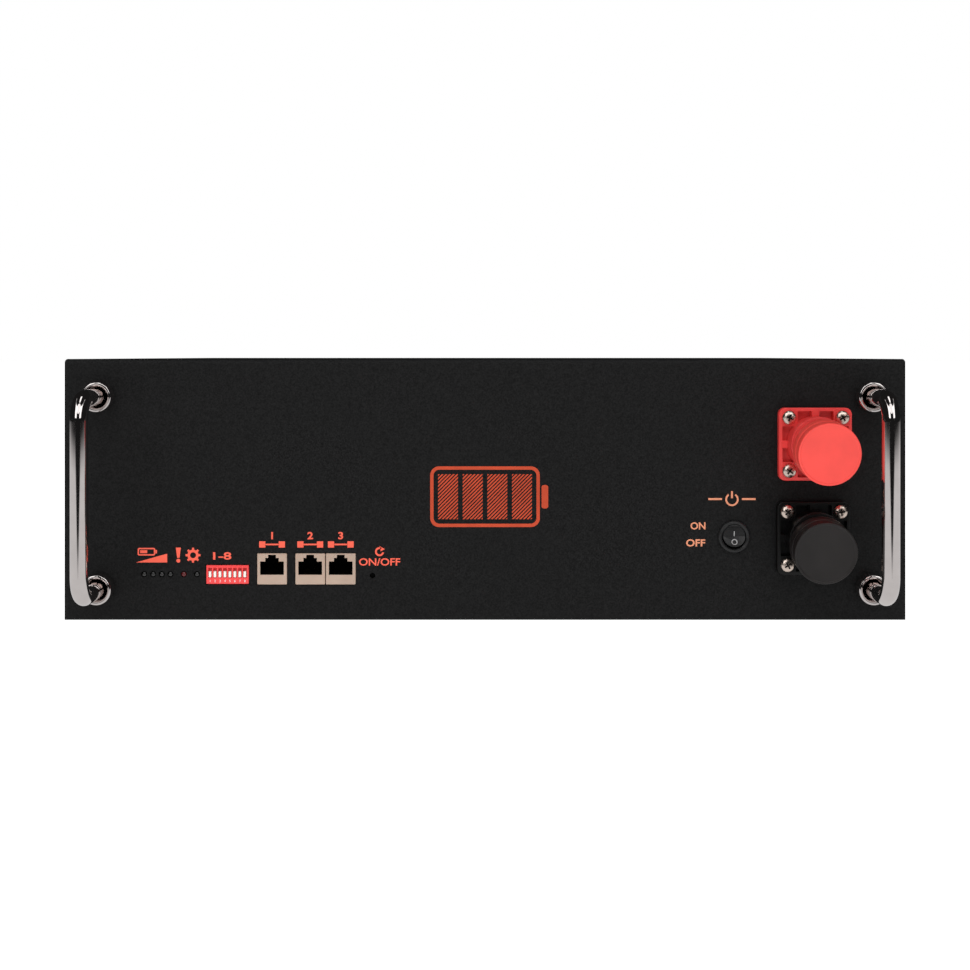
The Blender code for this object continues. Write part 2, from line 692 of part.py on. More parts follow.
def make_cables():
    """Power leads from the sockets' studs to the ends of the cell stack."""
    stud = FRONT + 23 * MM
    ends = {"positive": (140 * MM, -73 * MM), "negative": (-140 * MM, -73 * MM)}
    for word, (x_end, y_end) in ends.items():
        x, z = SOCKET_PLACE[word]
        top = CELL_FLOOR + CELL[2] + 3 * MM
        guide = [(x, stud, z), (x, stud + 16 * MM, z)]
        if word == "negative":
            guide += [(150 * MM, -140 * MM, 42 * MM), (60 * MM, -120 * MM, 44 * MM)]
            guide += [(-90 * MM, -118 * MM, 50 * MM), (-138 * MM, -117 * MM, 90 * MM)]
            guide += [(-140 * MM, -104 * MM, 120 * MM)]
        else:
            guide += [(160 * MM, -142 * MM, 104 * MM), (146 * MM, -104 * MM, 120 * MM)]
        guide += [(x_end, y_end - 5 * MM, top + 12 * MM), (x_end, y_end, top + 3 * MM)]
        finish = RED_RUBBER if word == "positive" else BLACK_RUBBER
        tube(f"cable_{word}", smooth_route(guide, 5), CABLE_RADIUS, finish, 1)


def smooth_route(guide, steps):
    """A Catmull-Rom curve through the guide points."""
    ends = [guide[0]] + guide + [guide[-1]]
    route = []
    for a, b, c, d in zip(ends, ends[1:], ends[2:], ends[3:]):
        for i in range(steps):
            t = i / steps
            weights = (-t + 2 * t**2 - t**3, 2 - 5 * t**2 + 3 * t**3, t + 4 * t**2 - 3 * t**3, t**3 - t**2)
            route.append([sum(w * p[k] for w, p in zip(weights, (a, b, c, d))) / 2 for k in range(3)])
    return route + [list(guide[-1])]


clear_scene()
PARTS = collection("rack_battery")
CASE_PAINT = material("case_paint", (0.013, 0.013, 0.013), 0.6)
CHROME = material("chrome", (0.75, 0.74, 0.73), 0.12, 1.0)
STEEL = material("steel", (0.6, 0.58, 0.55), 0.35, 1.0)
BLACK_STEEL = material("black_steel", (0.02, 0.02, 0.02), 0.4, 0.6)
BRASS = material("brass", (0.7, 0.5, 0.2), 0.3, 1.0)
RED_PLASTIC = material("red_plastic", (0.9, 0.09, 0.07), 0.5)
BLACK_PLASTIC = material("black_plastic", (0.02, 0.02, 0.02), 0.5)
CREAM_PLASTIC = material("cream_plastic", (0.6, 0.5, 0.42), 0.5)
WHITE_PLASTIC = material("white_plastic", (0.85, 0.83, 0.8), 0.5)
LENS = material("lens", (0.7, 0.7, 0.7), 0.2)
CELL_WRAP = material("cell_wrap", (0.05, 0.12, 0.4), 0.4)
BOARD = material("board", (0.02, 0.18, 0.08), 0.5)
RED_RUBBER = material("red_rubber", (0.6, 0.03, 0.02), 0.6)
BLACK_RUBBER = material("black_rubber", (0.02, 0.02, 0.02), 0.7)

make_tray()
make_cover()
make_side_screws()
make_panel()
make_handle("left", -1)
make_handle("right", 1)
make_socket("positive", RED_PLASTIC)
make_socket("negative", BLACK_PLASTIC)
make_switch()
make_leds()
make_address_switch()
make_ports()
make_reset()
make_cells()
make_hold_down()
make_board()
make_cables()
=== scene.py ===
"""Looks of the rack battery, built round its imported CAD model.  Metres, +Z up, front panel facing -Y."""
import math

import bmesh
import bpy
from mathutils import Matrix, Vector


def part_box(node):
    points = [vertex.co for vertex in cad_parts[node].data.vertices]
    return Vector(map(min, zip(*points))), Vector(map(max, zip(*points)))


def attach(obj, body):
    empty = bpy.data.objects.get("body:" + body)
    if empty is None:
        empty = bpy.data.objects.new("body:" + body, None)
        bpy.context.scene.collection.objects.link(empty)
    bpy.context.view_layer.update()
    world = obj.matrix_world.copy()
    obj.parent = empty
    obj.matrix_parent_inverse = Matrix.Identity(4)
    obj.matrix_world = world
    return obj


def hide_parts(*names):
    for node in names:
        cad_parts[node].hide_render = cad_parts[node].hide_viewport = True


MM = 0.001
CASE = "case"

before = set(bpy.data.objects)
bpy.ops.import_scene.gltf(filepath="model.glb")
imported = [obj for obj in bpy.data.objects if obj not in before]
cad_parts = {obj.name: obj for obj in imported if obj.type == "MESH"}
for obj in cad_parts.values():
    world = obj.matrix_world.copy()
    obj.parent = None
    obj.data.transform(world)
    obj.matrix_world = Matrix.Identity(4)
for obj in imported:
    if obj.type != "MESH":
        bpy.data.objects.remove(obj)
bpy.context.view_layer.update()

PANEL_LOW, PANEL_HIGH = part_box("front_panel")
FRONT = PANEL_LOW[1]
HEIGHT = PANEL_HIGH[2]
INK = 0.04 * MM
GAP = 0.3 * MM
UPRIGHT = Matrix.Rotation(math.radians(90), 4, "X")
MERGE = 0.002 * MM


def middle(node):
    """Centre of a CAD node's box."""
    low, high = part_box(node)
    return Vector([(a + b) / 2 for a, b in zip(low, high)])


# ---------------------------------------------------------------- materials

def new_material(name, colour, roughness, metallic=0.0, specular=0.5):
    material = bpy.data.materials.new(name)
    material.use_nodes = True
    shader = material.node_tree.nodes["Principled BSDF"]
    shader.inputs["Base Color"].default_value = (*colour, 1)
    shader.inputs["Roughness"].default_value = roughness
    shader.inputs["Metallic"].default_value = metallic
    shader.inputs["Specular IOR Level"].default_value = specular
    return material, shader


def noise(material, scale, detail=3.0, stretch=(1, 1, 1)):
    """A noise texture in metres, its output between 0 and 1; stretch draws it out along an axis."""
    nodes, links = material.node_tree.nodes, material.node_tree.links
    place = nodes.new("ShaderNodeTexCoord")
    mapping = nodes.new("ShaderNodeMapping")
    mapping.inputs["Scale"].default_value = stretch
    texture = nodes.new("ShaderNodeTexNoise")
    texture.inputs["Scale"].default_value = scale
    texture.inputs["Detail"].default_value = detail
    links.new(place.outputs["Object"], mapping.inputs["Vector"])
    links.new(mapping.outputs["Vector"], texture.inputs["Vector"])
    return texture.outputs["Fac"]


def remap(material, value, low, high, start=0.3, end=0.7):
    nodes, links = material.node_tree.nodes, material.node_tree.links
    change = nodes.new("ShaderNodeMapRange")
    change.inputs["From Min"].default_value = start
    change.inputs["From Max"].default_value = end
    change.inputs["To Min"].default_value = low
    change.inputs["To Max"].default_value = high
    links.new(value, change.inputs["Value"])
    return change.outputs["Result"]


def vary_colour(material, shader, value, dark, light):
    """Mix two colours by a 0 to 1 value into the base colour."""
    nodes, links = material.node_tree.nodes, material.node_tree.links
    ramp = nodes.new("ShaderNodeValToRGB")
    ramp.color_ramp.elements[0].color = (*dark, 1)
    ramp.color_ramp.elements[0].position = 0.3
    ramp.color_ramp.elements[1].color = (*light, 1)
    ramp.color_ramp.elements[1].position = 0.7
    links.new(value, ramp.inputs["Fac"])
    links.new(ramp.outputs["Color"], shader.inputs["Base Color"])


def add_bump(material, shader, value, height, strength=1.0):
    nodes, links = material.node_tree.nodes, material.node_tree.links
    bump = nodes.new("ShaderNodeBump")
    bump.inputs["Distance"].default_value = height
    bump.inputs["Strength"].default_value = strength
    links.new(value, bump.inputs["Height"])
    links.new(bump.outputs["Normal"], shader.inputs["Normal"])


def tint(colour, factor):
    return [min(1.0, channel * factor) for channel in colour]


def powder_coat():
    """Black powder coat: a fine pebbled grain, a little uneven in shade and gloss."""
    material, shader = new_material("powder_coat", (0.008, 0.008, 0.008), 0.55, 0.0, 0.2)
    grain = noise(material, 1500, 2)
    vary_colour(material, shader, grain, (0.0018, 0.0018, 0.0019), (0.0108, 0.0108, 0.011))
    links = material.node_tree.links
    links.new(remap(material, noise(material, 40, 3), 0.53, 0.6), shader.inputs["Roughness"])
    add_bump(material, shader, grain, 0.03 * MM, 0.8)
    return material


def plastic(name, colour, roughness=0.42, spread=0.06, specular=0.5, subsurface=0.0):
    """Moulded plastic: faint flow marks in the colour and a fine spark-eroded grain."""
    material, shader = new_material(name, colour, roughness, 0.0, specular)
    flow = noise(material, 90, 3)
    vary_colour(material, shader, flow, tint(colour, 1 - spread), tint(colour, 1 + spread))
    fine = noise(material, 3200, 2)
    gloss = remap(material, fine, roughness - 0.06, roughness + 0.06)
    material.node_tree.links.new(gloss, shader.inputs["Roughness"])
    add_bump(material, shader, fine, 0.012 * MM, 0.5)
    shader.inputs["Subsurface Weight"].default_value = subsurface
    shader.inputs["Subsurface Scale"].default_value = 0.8 * MM
    return material


def plated(name, colour, roughness, scratch=0.05, stretch=(1, 1, 1)):
    """Plated metal: bright, with faint rubbing marks in its roughness."""
    material, shader = new_material(name, colour, roughness, 1.0)
    marks = noise(material, 700, 4, stretch)
    gloss = remap(material, marks, max(0.02, roughness - scratch), roughness + scratch)
    material.node_tree.links.new(gloss, shader.inputs["Roughness"])
    vary_colour(material, shader, noise(material, 120, 2), tint(colour, 0.95), tint(colour, 1.03))
    add_bump(material, shader, marks, 0.004 * MM, 0.4)
    return material


POWDER = powder_coat()
CHROME = plated("chrome_plate", (0.72, 0.67, 0.655), 0.06, 0.02, (1, 1, 0.15))
NICKEL = plated("nickel_plate", (0.85, 0.71, 0.62), 0.26, 0.08)
# Near-black for the screws' cross recesses: painted shade inside the recess.
RECESS_SHADE = plastic("painted_recess_shade", (0.012, 0.009, 0.008), 0.6, 0.1, 0.2)
BLACK_OXIDE = plated("black_oxide", (0.03, 0.03, 0.03), 0.4, 0.08)
GOLD = plated("gold_plate", (0.85, 0.62, 0.28), 0.22, 0.05)
SILVER = plated("silver_plate", (0.8, 0.76, 0.7), 0.28, 0.07)
RED = plastic("red_cap_plastic", (0.84, 0.066, 0.052), 0.45, 0.06, 0.4, 0.05)
RED_FLANGE = plastic("red_socket_plastic", (0.72, 0.045, 0.042), 0.42, 0.06, 0.4, 0.03)
RED_SWITCH = plastic("red_switch_plastic", (0.88, 0.062, 0.062), 0.42, 0.05, 0.4, 0.03)
SOOT = plastic("black_cap_plastic", (0.0115, 0.009, 0.0085), 0.42, 0.16, 0.4)
SOOT_FLANGE = plastic("black_socket_plastic", (0.0022, 0.002, 0.0019), 0.34, 0.1, 0.3)
# Near-black for the data sockets' openings and the reset button down its hole: painted shade in these hollows.
HOLLOW_SHADE = plastic("painted_hollow_shade", (0.0008, 0.0008, 0.0008), 0.7, 0.1, 0.05)
SWITCH_BLACK = plastic("black_switch_plastic", (0.012, 0.012, 0.0125), 0.34, 0.08, 0.45)
CREAM = plastic("cream_port_plastic", (0.46, 0.34, 0.265), 0.4, 0.05, 0.4, 0.05)
IVORY = plastic("white_lever_plastic", (0.9, 0.86, 0.8), 0.4, 0.03)
CLEAR = plastic("clear_lens_resin", (0.003, 0.003, 0.003), 0.06, 0.06, 1.0)
RED_LENS = plastic("red_lens_resin", (0.09, 0.006, 0.008), 0.12, 0.06, 0.8)
ORANGE_INK = plastic("orange_ink", (0.5, 0.062, 0.024), 0.6, 0.12, 0.2)
SALMON_INK = plastic("salmon_ink", (0.9, 0.13, 0.08), 0.6, 0.08, 0.2)
LIGHT_INK = plastic("light_orange_ink", (0.72, 0.28, 0.16), 0.6, 0.08, 0.2)
CELL_FILM = plastic("blue_cell_film", (0.03, 0.12, 0.42), 0.3, 0.08, 0.5)
SOLDER_MASK = plastic("green_solder_mask", (0.02, 0.16, 0.07), 0.35, 0.1, 0.5)
RED_JACKET = plastic("red_cable_jacket", (0.5, 0.03, 0.02), 0.55, 0.06, 0.4)
BLACK_JACKET = plastic("black_cable_jacket", (0.015, 0.015, 0.015), 0.6, 0.08, 0.4)
WHITE_INK = plastic("white_ink", (0.86, 0.86, 0.86), 0.6, 0.03, 0.2)
GREY_INK = plastic("grey_ink", (0.42, 0.42, 0.42), 0.6, 0.05, 0.2)


# ---------------------------------------------------------------- shapes

def piece(name, mesh, material, body=CASE, replaces=()):
    """A finished piece: its mesh, its material, the body it rides on and the nodes it stands for."""
    new = bpy.data.objects.new(name, mesh)
    bpy.context.scene.collection.objects.link(new)
    if material:
        mesh.materials.clear()
        mesh.materials.append(material)
    return declare(new, body, replaces)


def declare(new, body=CASE, replaces=()):
    if replaces:
        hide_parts(*replaces)
    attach(new, body)
    return new


def mesh_of(shape, name="shape", clean=True):
    if clean:
        bmesh.ops.remove_doubles(shape, verts=shape.verts, dist=MERGE)
        bmesh.ops.recalc_face_normals(shape, faces=shape.faces)
    mesh = bpy.data.meshes.new(name)
    shape.to_mesh(mesh)
    shape.free()
    return mesh


def smooth(mesh, angle=32):
    mesh.shade_smooth()
    mesh.set_sharp_from_angle(angle=math.radians(angle))
    return mesh


def box_mesh(low, high, bevel=0.0, segments=3):
    shape = bmesh.new()
    bmesh.ops.create_cube(shape, size=1)
    size = [b - a for a, b in zip(low, high)]
    centre = [(a + b) / 2 for a, b in zip(low, high)]
    matrix = Matrix.Translation(centre) @ Matrix.Diagonal((*size, 1))
    bmesh.ops.transform(shape, matrix=matrix, verts=shape.verts)
    if bevel:
        edges = shape.edges[:]
        bmesh.ops.bevel(
            shape, geom=edges, offset=bevel, segments=segments, profile=0.5, affect="EDGES", clamp_overlap=True)
    return mesh_of(shape)


def rod_mesh(radius, start, end, x, z, sides=48):
    """A cylinder along Y."""
    shape = bmesh.new()
    length = end - start
    bmesh.ops.create_cone(shape, cap_ends=True, segments=sides, radius1=radius, radius2=radius, depth=length)
    matrix = Matrix.Translation((x, (start + end) / 2, z)) @ UPRIGHT
    bmesh.ops.transform(shape, matrix=matrix, verts=shape.verts)
    return mesh_of(shape)


def turned_mesh(profile, x=0.0, z=0.0, y=None, steps=96):
    """A turned shape on an axis along -Y; the profile is (radius, distance out from y)."""
    shape = bmesh.new()
    verts = [shape.verts.new((radius, 0, reach)) for radius, reach in profile]
    edges = [shape.edges.new(pair) for pair in zip(verts, verts[1:])]
    if profile[0][0] > 0:
        edges.append(shape.edges.new((verts[-1], verts[0])))
    origin, axis = (0, 0, 0), (0, 0, 1)
    bmesh.ops.spin(
        shape, geom=verts + edges, cent=origin, axis=axis, angle=math.tau, steps=steps, use_merge=True)
    place = Matrix.Translation((x, FRONT if y is None else y, z))
    bmesh.ops.transform(shape, matrix=place @ UPRIGHT, verts=shape.verts)
    return smooth(mesh_of(shape))


def rounded(corners, radius, steps=5):
    """A profile with its inner corners rounded: (radius, reach) points, the first and last kept."""
    points = [corners[0]]
    for before, corner, after in zip(corners, corners[1:], corners[2:]):
        a, b, c = Vector(before), Vector(corner), Vector(after)
        room = min(radius, (a - b).length / 2.1, (c - b).length / 2.1)
        start = b + (a - b).normalized() * room
        end = b + (c - b).normalized() * room
        for i in range(steps + 1):
            t = i / steps
            points.append(tuple(start * (1 - t) ** 2 + b * 2 * t * (1 - t) + end * t**2))
    return points + [corners[-1]]


def boolean(mesh, tools, operation="DIFFERENCE"):
    """The mesh with the tools cut from it or added to it, one after another."""
    target = bpy.data.objects.new("target", mesh)
    bpy.context.scene.collection.objects.link(target)
    for tool in tools:
        other = bpy.data.objects.new("tool", tool)
        bpy.context.scene.collection.objects.link(other)
        change = target.modifiers.new("change", "BOOLEAN")
        change.operation = operation
        change.object = other
        bpy.context.view_layer.update()
        graph = bpy.context.evaluated_depsgraph_get()
        result = bpy.data.meshes.new_from_object(target.evaluated_get(graph))
        target.modifiers.clear()
        target.data = result
        bpy.data.objects.remove(other)
    result = target.data
    bpy.data.objects.remove(target)
    return result


def merged(meshes):
    """Separate closed shapes in one mesh."""
    shape = bmesh.new()
    for mesh in meshes:
        shape.from_mesh(mesh)
    return mesh_of(shape, clean=False)


def bevelled(mesh, width, segments=2, angle=30):
    """The mesh with its sharp edges rounded."""
    target = bpy.data.objects.new("target", mesh)
    bpy.context.scene.collection.objects.link(target)
    edge = target.modifiers.new("edge", "BEVEL")
    edge.width = width
    edge.segments = segments
    edge.limit_method = "ANGLE"
    edge.angle_limit = math.radians(angle)
    bpy.context.view_layer.update()
    graph = bpy.context.evaluated_depsgraph_get()
    result = bpy.data.meshes.new_from_object(target.evaluated_get(graph))
    bpy.data.objects.remove(target)
    return smooth(result)


def wire_mesh(points, radius, resolution=6):
    """A round wire along points, with filled ends."""
    curve = bpy.data.curves.new("wire", "CURVE")
    curve.dimensions = "3D"
    curve.bevel_depth = radius
    curve.bevel_resolution = resolution
    curve.use_fill_caps = True
    line = curve.splines.new("POLY")
    line.points.add(len(points) - 1)
    for point, place in zip(line.points, points):
        point.co = (*place, 1)
    return from_curve(curve)


def from_curve(curve, matrix=None):
    guide = bpy.data.objects.new("guide", curve)
    bpy.context.scene.collection.objects.link(guide)
    bpy.context.view_layer.update()
    graph = bpy.context.evaluated_depsgraph_get()
    mesh = bpy.data.meshes.new_from_object(guide.evaluated_get(graph))
    bpy.data.objects.remove(guide)
    if matrix:
        mesh.transform(matrix)
    shape = bmesh.new()
    shape.from_mesh(mesh)
    bmesh.ops.remove_doubles(shape, verts=shape.verts, dist=MERGE)
    shape.to_mesh(mesh)
    shape.free()
    return smooth(mesh)


# ---------------------------------------------------------------- stage, light and camera

def make_stage():
    """Pale floor, even white surroundings and soft lights."""
    scene = bpy.context.scene
    scene.view_settings.view_transform = "Standard"
    low, high = (-FLOOR_REACH, -FLOOR_REACH, -0.05), (FLOOR_REACH, FLOOR_REACH, -0.2 * MM)
    floor = bpy.data.objects.new("floor", box_mesh(low, high))
    scene.collection.objects.link(floor)
    material, shader = new_material("pale_floor", (0.8, 0.8, 0.8), 0.9, 0.0, 0.0)
    shader.inputs["Emission Color"].default_value = (1, 1, 1, 1)
    shader.inputs["Emission Strength"].default_value = FLOOR_GLOW
    floor.data.materials.append(material)

    floor.visible_glossy = False
    scene.world = make_world()

    sun = bpy.data.lights.new("sun", "SUN")
    sun.energy = SUN_LIGHT
    sun.angle = math.radians(40)
    add_light("sun", sun, (0, -1, 1.1), (0, 0, 0))
    for name, place, size, power in STUDIO_LIGHTS:
        lamp = bpy.data.lights.new(name, "AREA")
        lamp.shape = "RECTANGLE"
        lamp.size, lamp.size_y = size
        lamp.energy = power
        add_light(name, lamp, place, (0, FRONT, HEIGHT / 2)).visible_glossy = False


def math_node(tree, kind, first, second):
    """One sum on two values, each a number or a socket."""
    node = tree.nodes.new("ShaderNodeMath")
    node.operation = kind
    for socket, value in zip(node.inputs, (first, second)):
        if isinstance(value, (int, float)):
            socket.default_value = value
        else:
            tree.links.new(value, socket)
    return node.outputs[0]


def step(tree, value, start, end):
    """0 at start and 1 at end, smooth between."""
    node = tree.nodes.new("ShaderNodeMapRange")
    node.interpolation_type = "SMOOTHSTEP"
    node.inputs["From Min"].default_value = start
    node.inputs["From Max"].default_value = end
    tree.links.new(value, node.inputs["Value"])
    return node.outputs["Result"]


def between(tree, value, low, high, soft):
    """1 between low and high, with soft ends."""
    rise = step(tree, value, low - soft, low + soft)
    return math_node(tree, "MULTIPLY", rise, step(tree, value, high + soft, high - soft))


def reflected_room(tree):
    """What shiny surfaces see: a dark room, strip lights, and a grey floor with a darker middle."""
    place = tree.nodes.new("ShaderNodeTexCoord")
    split = tree.nodes.new("ShaderNodeSeparateXYZ")
    tree.links.new(place.outputs["Generated"], split.inputs[0])
    across, along, up = split.outputs
    aside = math_node(tree, "ABSOLUTE", across, 0.0)
    behind = step(tree, along, *BEHIND_EDGE)
    centre = math_node(tree, "SUBTRACT", 1.0, step(tree, aside, *DARK_BAND_EDGE))
    shadow = math_node(tree, "MULTIPLY", centre, DARK_BAND_DROP)
    shadow = math_node(tree, "MULTIPLY", shadow, math_node(tree, "SUBTRACT", 1.0, behind))
    below = step(tree, math_node(tree, "ADD", up, shadow), *GREY_FLOOR_EDGE)
    shade = math_node(tree, "MULTIPLY", below, FLOOR_REFLECTION - ROOM_REFLECTION)
    for inner, outer, low, high in STRIP_LIGHTS:
        wide = between(tree, aside, inner, outer, 0.02)
        tall = between(tree, up, low, high, 0.03)
        lamp = math_node(tree, "MULTIPLY", wide, tall)
        lamp = math_node(tree, "MULTIPLY", lamp, step(tree, along, *STRIP_LIGHT_BACK))
        shade = math_node(tree, "ADD", shade, math_node(tree, "MULTIPLY", lamp, STRIP_REFLECTION))
    return math_node(tree, "ADD", shade, ROOM_REFLECTION)


def mix_by(tree, share, base, other):
    node = tree.nodes.new("ShaderNodeMixShader")
    for socket, value in zip(node.inputs, (share, base, other)):
        tree.links.new(value, socket)
    return node.outputs[0]


def make_world():
    """White behind the object, soft even light on it, and a studio of its own for reflections."""
    world = bpy.data.worlds.new("studio")
    world.use_nodes = True
    tree = world.node_tree
    seen = tree.nodes["Background"]
    lit = tree.nodes.new("ShaderNodeBackground")
    lit.inputs["Strength"].default_value = WORLD_LIGHT
    mirrored = tree.nodes.new("ShaderNodeBackground")
    for background in (seen, lit, mirrored):
        background.inputs["Color"].default_value = (1, 1, 1, 1)
    tree.links.new(reflected_room(tree), mirrored.inputs["Strength"])
    ray = tree.nodes.new("ShaderNodeLightPath").outputs
    surface = mix_by(tree, ray["Is Glossy Ray"], lit.outputs[0], mirrored.outputs[0])
    surface = mix_by(tree, ray["Is Camera Ray"], surface, seen.outputs[0])
    tree.links.new(surface, tree.nodes["World Output"].inputs["Surface"])
    return world


def add_light(name, lamp, place, target):
    light = bpy.data.objects.new(name, lamp)
    light.location = place
    light.rotation_euler = (Vector(target) - Vector(place)).to_track_quat("-Z", "Y").to_euler()
    bpy.context.scene.collection.objects.link(light)
    return light


FLOOR_GLOW = 0.97
FLOOR_REACH = 30.0
WORLD_LIGHT = 0.3
ROOM_REFLECTION = 0.012
FLOOR_REFLECTION = 0.68
STRIP_REFLECTION = 1.7
STRIP_LIGHTS = [(0.3, 0.6, 0.2, 0.8), (-0.2, 0.1, 0.955, 1.2)]
GREY_FLOOR_EDGE = (-0.02, -0.07)
DARK_BAND_EDGE = (0.05, 0.6)
DARK_BAND_DROP = 0.11
BEHIND_EDGE = (-0.45, -0.1)
STRIP_LIGHT_BACK = (0.25, 0.15)
SUN_LIGHT = 0.48
STUDIO_LIGHTS = [
    ("left_softbox", (-0.34, -0.95, 1.05), (0.42, 0.75), 2.9),
    ("right_softbox", (0.34, -0.95, 1.05), (0.42, 0.75), 2.9),
]
CAMERA_DISTANCE = 0.780
CAMERA_HEIGHT = 0.1350
CAMERA_LENS = 56.65
VIEW_SHIFT = -0.1332


def make_camera():
    camera = bpy.data.cameras.new("camera")
    camera.lens = CAMERA_LENS
    camera.sensor_width = 36
    camera.shift_y = VIEW_SHIFT
    camera.clip_start = 0.01
    viewer = bpy.data.objects.new("camera", camera)
    viewer.location = (0, FRONT - CAMERA_DISTANCE, CAMERA_HEIGHT)
    viewer.rotation_euler = (math.radians(90), 0, 0)
    bpy.context.scene.collection.objects.link(viewer)
    bpy.context.scene.camera = viewer


# ---------------------------------------------------------------- case

def paint_nodes():
    """CAD nodes whose shapes are right keep them and get a full material."""
    sides = ("left", "right")
    cover_screws = [f"cover_screw_{side}_{end}" for side in sides for end in ("front", "rear")]
    handle_screws = [f"handle_screw_{side}_{end}" for side in sides for end in ("bottom", "top")]
    finishes = {
        POWDER: ["chassis_tray", "top_cover", "front_panel"],
        BLACK_OXIDE: cover_screws + ["panel_screw_left", "panel_screw_right"],
        NICKEL: handle_screws + ["cell_hold_down"],
        SILVER: ["contact_pin_positive", "contact_pin_negative"],
        CELL_FILM: ["cell_row_front", "cell_row_rear"],
        SOLDER_MASK: ["bms_board"],
        RED_JACKET: ["cable_positive"],
        BLACK_JACKET: ["cable_negative"],
        # The reset button is painted near-black: painted shade in its hole.
        HOLLOW_SHADE: ["reset_button"],
    }
    for material, names in finishes.items():
        for name in names:
            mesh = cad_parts[name].data
            mesh.materials.clear()
            mesh.materials.append(material)


# ---------------------------------------------------------------- handles

HANDLE_ROD = 4.35 * MM
HANDLE_BEND = 11 * MM


def arc(centre, radius, start, end, x, steps=24):
    turns = [math.radians(start + (end - start) * i / steps) for i in range(steps + 1)]
    return [(x, centre[0] + radius * math.cos(t), centre[1] + radius * math.sin(t)) for t in turns]


def make_handle(word):
    """A polished rod bent twice, with turned collars where it meets the panel."""
    node = f"handle_{word}"
    low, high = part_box(node)
    x = (low[0] + high[0]) / 2
    bottom, top = low[2] + HANDLE_ROD, high[2] - HANDLE_ROD
    start = FRONT - GAP
    bar = low[1] + HANDLE_ROD
    inner = bar + HANDLE_BEND
    points = [(x, start, top)]
    points += arc((inner, top - HANDLE_BEND), HANDLE_BEND, 90, 180, x)
    points += arc((inner, bottom + HANDLE_BEND), HANDLE_BEND, 180, 270, x)
    points += [(x, start, bottom)]
    piece(f"{node}_rod", wire_mesh(points, HANDLE_ROD, 14), CHROME, CASE, [node])
    for place, z in (("bottom", bottom), ("top", top)):
        make_collar(f"handle_collar_{word}_{place}", x, z)


def make_collar(node, x, z):
    """Turned collar: rounded front rim, then dished down to the rod."""
    low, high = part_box(node)
    radius = (high[0] - low[0]) / 2
    tall = FRONT - low[1]
    bore = HANDLE_ROD + 0.15 * MM
    corners = [(bore, GAP), (radius, GAP), (radius, tall - 0.2 * MM), (radius - 1.5 * MM, tall)]
    corners += [(radius - 2.2 * MM, tall - 1.2 * MM), (bore + 0.4 * MM, tall - 2.0 * MM)]
    corners += [(bore, tall - 3.2 * MM)]
    mesh = turned_mesh(rounded(corners, 1.1 * MM), x, z)
    piece(f"{node}_turned", mesh, CHROME, CASE, [node])


# ---------------------------------------------------------------- power sockets

FLANGE_THICKNESS = 5.3 * MM
FLANGE_CORNER = 3.3 * MM
SCREW_OFFSET = 13.5 * MM
SCREW_HOLE = 1.8 * MM
SOCKET_REAR_RADIUS = 12.4 * MM
SOCKET_REAR = 12 * MM
BARREL_RADIUS = 14.2 * MM
BARREL_END = 16.5 * MM
TIP_RADIUS = 10.4 * MM
TIP_END = 30 * MM
SOCKET_BORE = 8.4 * MM
PIN_CLEAR = 3.8 * MM
CAP_RADIUS = 15.45 * MM
CAP_INNER = 14.5 * MM
CAP_LENGTH = 15 * MM
CAP_DROP = {"positive": 2.4 * MM, "negative": 3.1 * MM}
CAP_TILT = {"positive": math.radians(6), "negative": math.radians(8)}


def pocket_mesh(x, z, quarter, step):
    """A box-shaped recess beside the flange's edge, with a wall towards the screw and the rib."""
    spans = sorted((step * 1.9 * MM, step * 9.1 * MM))
    mesh = box_mesh((spans[0], -8 * MM, 11 * MM), (spans[1], -1.6 * MM, 16.8 * MM))
    turn = Matrix.Rotation(math.radians(90 * quarter), 4, "Y")
    mesh.transform(Matrix.Translation((x, FRONT, z)) @ turn)
    return mesh


def make_socket(word, material, cap_material):
    """Square flange with pockets and screw holes, round stepped barrel, and a loose cap over its tip."""
    node = f"socket_{word}"
    low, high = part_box(node)
    x, z = (low[0] + high[0]) / 2, (low[2] + high[2]) / 2
    half = (high[0] - low[0]) / 2
    flange = plate_mesh(x, z, half, FLANGE_CORNER, FRONT - FLANGE_THICKNESS, FRONT - GAP)
    flange = bevelled(flange, 0.5 * MM, 3)
    tools = [pocket_mesh(x, z, quarter, step) for quarter in range(4) for step in (-1, 1)]
    for dx, dz in screw_offsets():
        tools.append(rod_mesh(SCREW_HOLE, FRONT - 20 * MM, FRONT + 5 * MM, x + dx, z + dz, 24))
    bore = rod_mesh(TIP_RADIUS, FRONT - 20 * MM, FRONT + 20 * MM, x, z, 96)
    flange = boolean(flange, [bore, merged(tools)])
    step_radius = BARREL_RADIUS - 0.5 * MM
    corners = [(PIN_CLEAR, -SOCKET_REAR), (SOCKET_REAR_RADIUS, -SOCKET_REAR), (SOCKET_REAR_RADIUS, GAP)]
    corners += [(BARREL_RADIUS, GAP), (BARREL_RADIUS, BARREL_END - 1.6 * MM)]
    corners += [(step_radius, BARREL_END - 1.5 * MM), (step_radius, BARREL_END)]
    corners += [(TIP_RADIUS, BARREL_END), (TIP_RADIUS, TIP_END)]
    corners += [(SOCKET_BORE, TIP_END), (SOCKET_BORE, 0), (PIN_CLEAR, 0)]
    barrel = turned_mesh(rounded(corners, 0.35 * MM, 3), x, z)
    body = boolean(barrel, [flange], "UNION")
    piece(f"{node}_body", smooth(body), material, CASE, [node])
    make_cap(word, x, z, cap_material)


